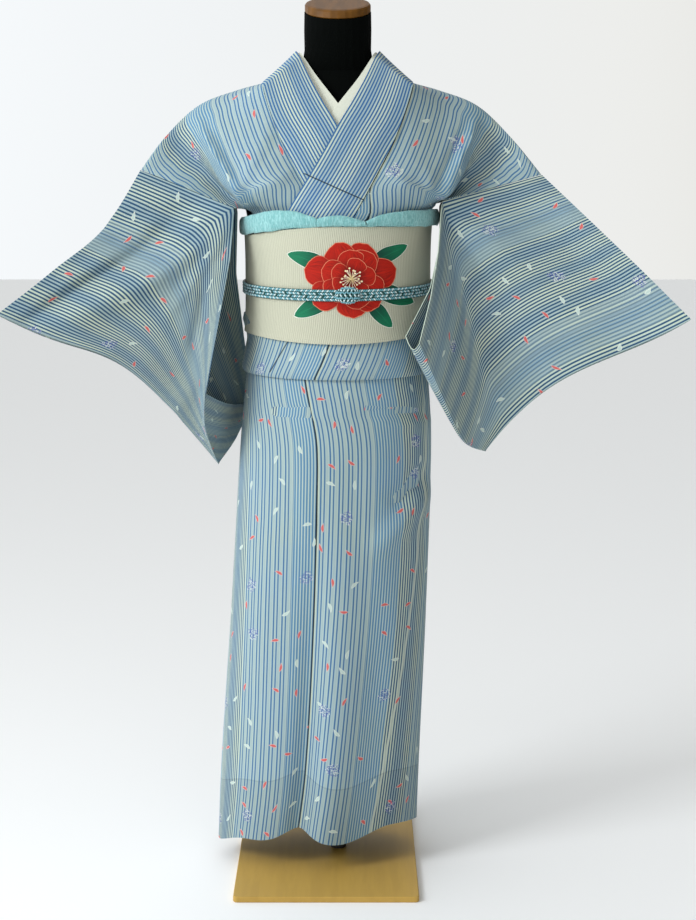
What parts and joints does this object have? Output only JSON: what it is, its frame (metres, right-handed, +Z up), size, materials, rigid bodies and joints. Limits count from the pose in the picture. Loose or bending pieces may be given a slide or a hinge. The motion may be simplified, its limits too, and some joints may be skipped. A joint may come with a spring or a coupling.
{
  "type": "kimono on dress form",
  "caption": "Striped summer kimono with sash, scarf and cord, dressed on a limbless form with a plain base board.",
  "frame": {"origin": "the point on the floor under the base board that lies below the middle of the form's neck", "axes": "+Z up, -Y towards the front of the kimono, +X towards the wearer's left"},
  "size_m": [0.9937, 0.426, 1.3097],
  "materials": {
    "base_board": "plain painted board",
    "pole": "dark painted steel",
    "form_cover": "black knitted cover",
    "cap_wood": "varnished golden brown wood",
    "kimono_cloth": "crisp woven stripes with small scattered motifs",
    "collar_cloth": "crisp woven stripes, closely set",
    "half_collar_cloth": "plain white weave",
    "sash_cloth": "fine ribbed cream weave with a painted flower",
    "cord_silk": "flat silk braid",
    "scarf_cloth": "fine crinkled crepe"
  },
  "bodies": {
    "root": {"form_base": "base_board", "form_pole": "pole", "form_torso": "form_cover", "form_neck_cap": "cap_wood", "body_left": "kimono_cloth", "body_right": "kimono_cloth", "overlap_left": "kimono_cloth", "overlap_right": "kimono_cloth", "collar": "collar_cloth", "collar_cover": "collar_cloth", "half_collar": "half_collar_cloth", "sleeve_left": "kimono_cloth", "sleeve_right": "kimono_cloth", "sash": "sash_cloth", "sash_drum": "sash_cloth", "sash_tail": "sash_cloth", "sash_hand": "sash_cloth", "cord": "cord_silk", "cord_knot": "cord_silk", "scarf_left": "scarf_cloth", "scarf_middle": "scarf_cloth", "scarf_right": "scarf_cloth"}
  },
  "joints": []
}
